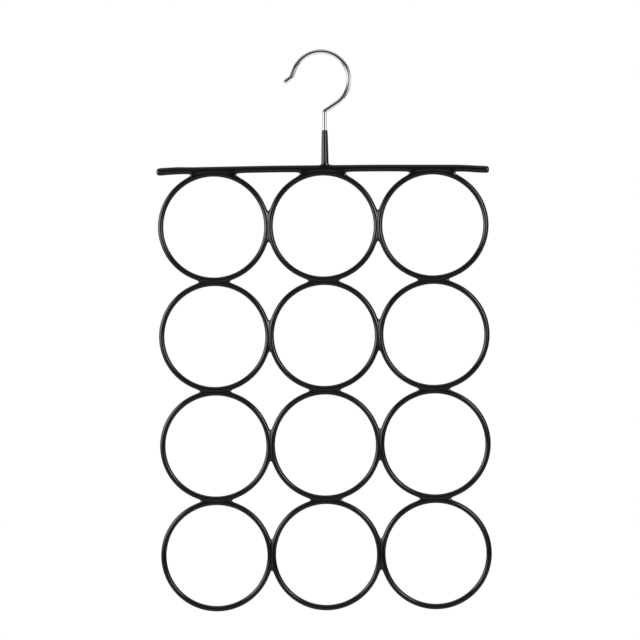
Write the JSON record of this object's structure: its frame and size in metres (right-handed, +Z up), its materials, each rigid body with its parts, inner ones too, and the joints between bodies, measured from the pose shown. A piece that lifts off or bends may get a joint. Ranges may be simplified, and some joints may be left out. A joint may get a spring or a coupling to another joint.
{
  "type": "scarf hanger",
  "caption": "Flat hanger for scarves, ties and belts: rows of welded wire rings under a crossbar, dipped in black vinyl, on a bright plated wire hook for a wardrobe rail.",
  "frame": {"origin": "seat of the hook: the crown of the inside of its bow, where it rests on the top of the rail", "axes": "+Z up, +X along the crossbar away from the hook's mouth, +Y square to the plane of the rings, along the rail"},
  "size_m": [0.2996, 0.0068, 0.5048],
  "materials": {
    "bright_plating": "bright chrome plating on drawn wire",
    "bare_steel": "drawn steel wire, uncoated, under the vinyl",
    "black_vinyl": "dipped glossy black vinyl, slightly soft"
  },
  "bodies": {
    "root": {"hook": "bright_plating", "crossbar": "bare_steel", "ring_r1c1": "bare_steel", "ring_r1c2": "bare_steel", "ring_r1c3": "bare_steel", "ring_r2c1": "bare_steel", "ring_r2c2": "bare_steel", "ring_r2c3": "bare_steel", "ring_r3c1": "bare_steel", "ring_r3c2": "bare_steel", "ring_r3c3": "bare_steel", "ring_r4c1": "bare_steel", "ring_r4c2": "bare_steel", "ring_r4c3": "bare_steel", "crossbar_coat": "black_vinyl", "neck_coat": "black_vinyl", "ring_coat_r1c1": "black_vinyl", "ring_coat_r1c2": "black_vinyl", "ring_coat_r1c3": "black_vinyl", "ring_coat_r2c1": "black_vinyl", "ring_coat_r2c2": "black_vinyl", "ring_coat_r2c3": "black_vinyl", "ring_coat_r3c1": "black_vinyl", "ring_coat_r3c2": "black_vinyl", "ring_coat_r3c3": "black_vinyl", "ring_coat_r4c1": "black_vinyl", "ring_coat_r4c2": "black_vinyl", "ring_coat_r4c3": "black_vinyl"}
  },
  "joints": []
}
